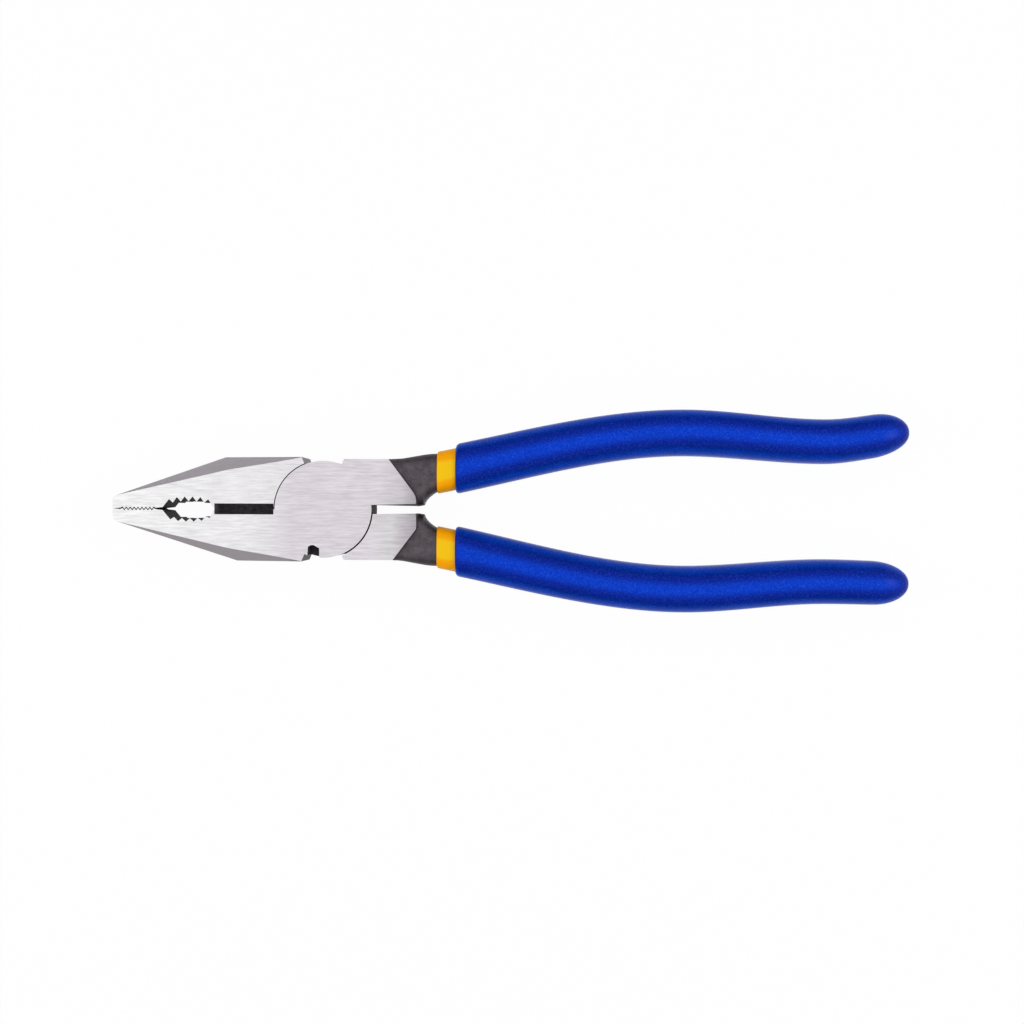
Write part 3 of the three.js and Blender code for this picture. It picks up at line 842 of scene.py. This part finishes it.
# Short of 1, so that the half thickness never comes down to nothing at the very end of a grip.
END_LIMIT = 0.97
GRIP_SIZES = {"start": 33.3, "inset": 0.0, "wall": 1.0, "lip_rounding": 1.0}


def blue_vinyl():
    """Dense blue vinyl with a fine speckle and a matt skin of faint pebble bumps. Its colour holds painted
    light:
    a paler crown, darker flanks, paler sides, and painted glints on the speckle.
    """
    material, tree, shader, place = new_material("blue_vinyl", metallic=0.0, gloss=0.045)
    mottle, speckle = grain_of(tree, place, BLUE_MOTTLE, BLUE_SPECKLE)
    along = part_of(tree, place, "X")
    height = part_of(tree, place, "Z")
    sizes = {label: size * MILLIMETRE for label, size in HANDLE_SIZES.items()}
    end = sizes["Grip Reach"]
    full = sizes["Grip Half Thickness"]
    thinned = sizes["End Half Thickness"]
    past_centre = along.share(sizes["End Centre"], end, 0.0, END_LIMIT)
    rounding = (1.0 - past_centre ** 2.0) ** 0.5
    half_thickness = along.share(sizes["Waist Reach"], end, full, thinned, ease="SMOOTHSTEP") * rounding
    lift = (abs(height - sizes["Middle Height"]) / half_thickness).share(0.0, 1.0)
    spread = (1.0 - lift ** GRIP_SQUARENESS) ** (1.0 / GRIP_SQUARENESS)
    # The painted light follows how far a point lies across the section from the crown.
    tone = colour_along(tree, varied(spread, swing=0.06, noise=mottle), BLUE_PAINTED_LIGHT_TONES, ease="EASE")
    cloudy = varied(1.0, swing=0.25, noise=mottle)
    shade = varied(cloudy, swing=0.9, noise=speckle)
    glints = scaled(tree, GLINT_TONE, speckle.share(GLINT_START, GLINT_FULL))
    painted_light_colour = add_node(
        tree, "ShaderNodeVectorMath", {0: scaled(tree, tone, shade), 1: glints}, operation="ADD"
    )
    tree.links.new(painted_light_colour.outputs["Vector"], shader.inputs["Base Color"])
    shader.inputs["Sheen Weight"].default_value = SHEEN_WEIGHT
    shader.inputs["Sheen Roughness"].default_value = SHEEN_ROUGHNESS
    shader.inputs["Sheen Tint"].default_value = SHEEN_TINT
    put(tree, shader.inputs["Roughness"], varied(BLUE_ROUGHNESS, swing=0.2, noise=speckle))
    raise_bumps(tree, shader, speckle, distance=0.03, strength=0.3)
    return material


blue = blue_vinyl()

upper_grip = dipped_coat("upper_grip_coat", 1.0, blue, end_offset=UPPER_END_OFFSET, **GRIP_SIZES)
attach(upper_grip, "front")
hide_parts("upper_grip")

lower_grip = dipped_coat("lower_grip_coat", -1.0, blue, end_offset=LOWER_END_OFFSET, **GRIP_SIZES)
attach(lower_grip, "rear")
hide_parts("lower_grip")


# The white floor that the pliers lie on. It shows white to the camera and in the steel, and keeps a faint
# shadow of the pliers.
FLOOR_HALF_SIZE = 2.0
FLOOR_CLEARANCE = 0.00002
FLOOR_GLOW = 0.97
FLOOR_PAINT = (0.9, 0.9, 0.9, 1.0)
WHITE = (1.0, 1.0, 1.0, 1.0)


def flat_panel(name, corners, material):
    """A plain panel of the stage through four corners."""
    mesh = bpy.data.meshes.new(name)
    mesh.from_pydata(corners, [], [(0, 1, 2, 3)])
    mesh.materials.append(material)
    panel = bpy.data.objects.new(name, mesh)
    bpy.context.scene.collection.objects.link(panel)
    return panel


def white_floor():
    """White paint, with a share of its own light for what the camera sees, straight or in the steel."""
    material = bpy.data.materials.new("white_floor")
    material.use_nodes = True
    tree = material.node_tree
    tree.nodes.clear()
    rays = tree.nodes.new("ShaderNodeLightPath")
    seen = Figure(tree, rays.outputs["Is Camera Ray"])
    mirrored = Figure(tree, rays.outputs["Is Glossy Ray"])
    through = Figure(tree, rays.outputs["Is Transmission Ray"])
    share = (seen + mirrored + through).share(0.0, 1.0, 0.0, FLOOR_GLOW)
    paint = add_node(tree, "ShaderNodeBsdfDiffuse", {"Color": FLOOR_PAINT})
    glow = add_node(tree, "ShaderNodeEmission", {"Color": WHITE, "Strength": 1.0})
    blend = add_node(
        tree, "ShaderNodeMixShader", {0: share, 1: paint.outputs["BSDF"], 2: glow.outputs["Emission"]}
    )
    out = tree.nodes.new("ShaderNodeOutputMaterial")
    tree.links.new(blend.outputs["Shader"], out.inputs["Surface"])
    return material


floor_height = cad_box[0][2] - FLOOR_CLEARANCE
floor_corners = [(-1, -1), (1, -1), (1, 1), (-1, 1)]
flat_panel(
    "floor",
    [(x * FLOOR_HALF_SIZE, y * FLOOR_HALF_SIZE, floor_height) for x, y in floor_corners],
    white_floor(),
)


# The light: an even white surround, with a dark panel along each side that shades the flanks of the grips
# and the bevels of the jaws, and a small soft lamp past each end of the tool.
PANEL_DISTANCE = 0.35
PANEL_HALF_LENGTH = 0.5
PANEL_HEIGHT = 0.26
PANEL_PAINT = (0.03, 0.03, 0.03, 1.0)
LAMP_SIZE = 0.16
LAMPS = {"jaw_lamp": ((-0.55, 0.0, 0.25), 0.7), "grip_lamp": ((0.59, 0.0, 0.41), 0.65)}
LAMP_TARGET = Vector((0.065, 0.0, 0.01))

world = bpy.data.worlds.new("white_surround")
world.use_nodes = True
surround = world.node_tree.nodes["Background"]
surround.inputs["Color"].default_value = WHITE
surround.inputs["Strength"].default_value = 1.0
bpy.context.scene.world = world

panel_paint = bpy.data.materials.new("dark_panel")
panel_paint.use_nodes = True
panel_shader = panel_paint.node_tree.nodes["Principled BSDF"]
panel_shader.inputs["Base Color"].default_value = PANEL_PAINT
panel_shader.inputs["Roughness"].default_value = 1.0
for side_name, side in (("upper_panel", 1.0), ("lower_panel", -1.0)):
    panel = flat_panel(
        side_name,
        [
            (-PANEL_HALF_LENGTH, side * PANEL_DISTANCE, 0.0),
            (PANEL_HALF_LENGTH, side * PANEL_DISTANCE, 0.0),
            (PANEL_HALF_LENGTH, side * PANEL_DISTANCE, PANEL_HEIGHT),
            (-PANEL_HALF_LENGTH, side * PANEL_DISTANCE, PANEL_HEIGHT),
        ],
        panel_paint,
    )
    panel.visible_camera = False

for lamp_name, (lamp_place, power) in LAMPS.items():
    lamp_data = bpy.data.lights.new(lamp_name, "AREA")
    lamp_data.size = LAMP_SIZE
    lamp_data.energy = power
    lamp = bpy.data.objects.new(lamp_name, lamp_data)
    lamp.location = lamp_place
    lamp.rotation_euler = (LAMP_TARGET - lamp.location).to_track_quat("-Z", "Y").to_euler()
    bpy.context.scene.collection.objects.link(lamp)


# The camera, straight above the pliers and turned slightly about its own axis. It stands near enough
# for the walls inside the pipe grip to show.
CAMERA_PLACE = (0.04773, -0.00046, 0.2865)
CAMERA_TURN = 0.27
LENS = 38.3
SENSOR_WIDTH = 36.0
CLIP_START = 0.01
CLIP_END = 20.0

camera_data = bpy.data.cameras.new("camera")
camera_data.lens = LENS
camera_data.sensor_width = SENSOR_WIDTH
camera_data.sensor_fit = "HORIZONTAL"
camera_data.clip_start = CLIP_START
camera_data.clip_end = CLIP_END
camera = bpy.data.objects.new("camera", camera_data)
camera.location = CAMERA_PLACE
camera.rotation_euler = (0.0, 0.0, math.radians(CAMERA_TURN))
bpy.context.scene.collection.objects.link(camera)
bpy.context.scene.camera = camera
bpy.context.scene.view_settings.view_transform = "Standard"
